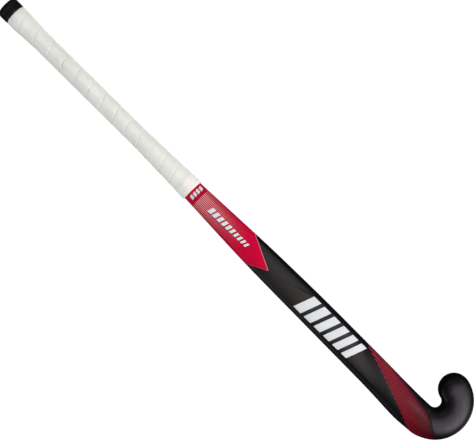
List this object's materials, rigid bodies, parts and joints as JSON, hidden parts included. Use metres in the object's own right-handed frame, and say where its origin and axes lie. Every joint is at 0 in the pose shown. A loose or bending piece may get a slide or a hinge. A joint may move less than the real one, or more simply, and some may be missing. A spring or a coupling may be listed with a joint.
{
  "type": "field hockey stick",
  "caption": "Composite field hockey stick with a hooked head, flat playing face, rounded back, low bow, wrapped white handle, rubber end cap and red, black and silver films.",
  "frame": {"origin": "on the handle axis, in the middle of the straight, round hand length of the grip", "axes": "+Z along the handle to the butt end, +X to the toe of the head, +Y out of the flat playing face"},
  "size_m": [0.1177, 0.0691, 0.9269],
  "materials": {
    "cap_rubber": "satin moulded rubber",
    "cork_rubber": "bonded cork and rubber granules",
    "adhesive_foam": "thin adhesive foam",
    "grip_cushion": "soft cushioned wrap, matt, finely grained",
    "cloth_tape": "matt finishing tape",
    "carbon_laminate": "lacquered carbon laminate, satin",
    "glass_laminate": "glass-fibre laminate",
    "aramid_laminate": "aramid laminate",
    "structural_foam": "expanded polyurethane foam",
    "head_filler": "dense moulded filler",
    "red_film": "printed film under lacquer",
    "dark_film": "printed film under lacquer",
    "stripe_film": "printed film under lacquer",
    "silver_film": "pale printed film under lacquer"
  },
  "bodies": {
    "root": {"end_cap": "cap_rubber", "butt_plug": "cork_rubber", "grip_underlay": "adhesive_foam", "grip_wrap": "grip_cushion", "finishing_tape": "cloth_tape", "carbon_shell": "carbon_laminate", "glass_liner": "glass_laminate", "head_wrap": "aramid_laminate", "head_core": "head_filler", "centre_web": "glass_laminate", "heel_side_core": "structural_foam", "toe_side_core": "structural_foam", "label_film": "red_film", "panel_film": "red_film", "facet_film": "dark_film", "stripe_film": "stripe_film", "emblem_film": "silver_film", "mark_film": "silver_film"}
  },
  "joints": []
}
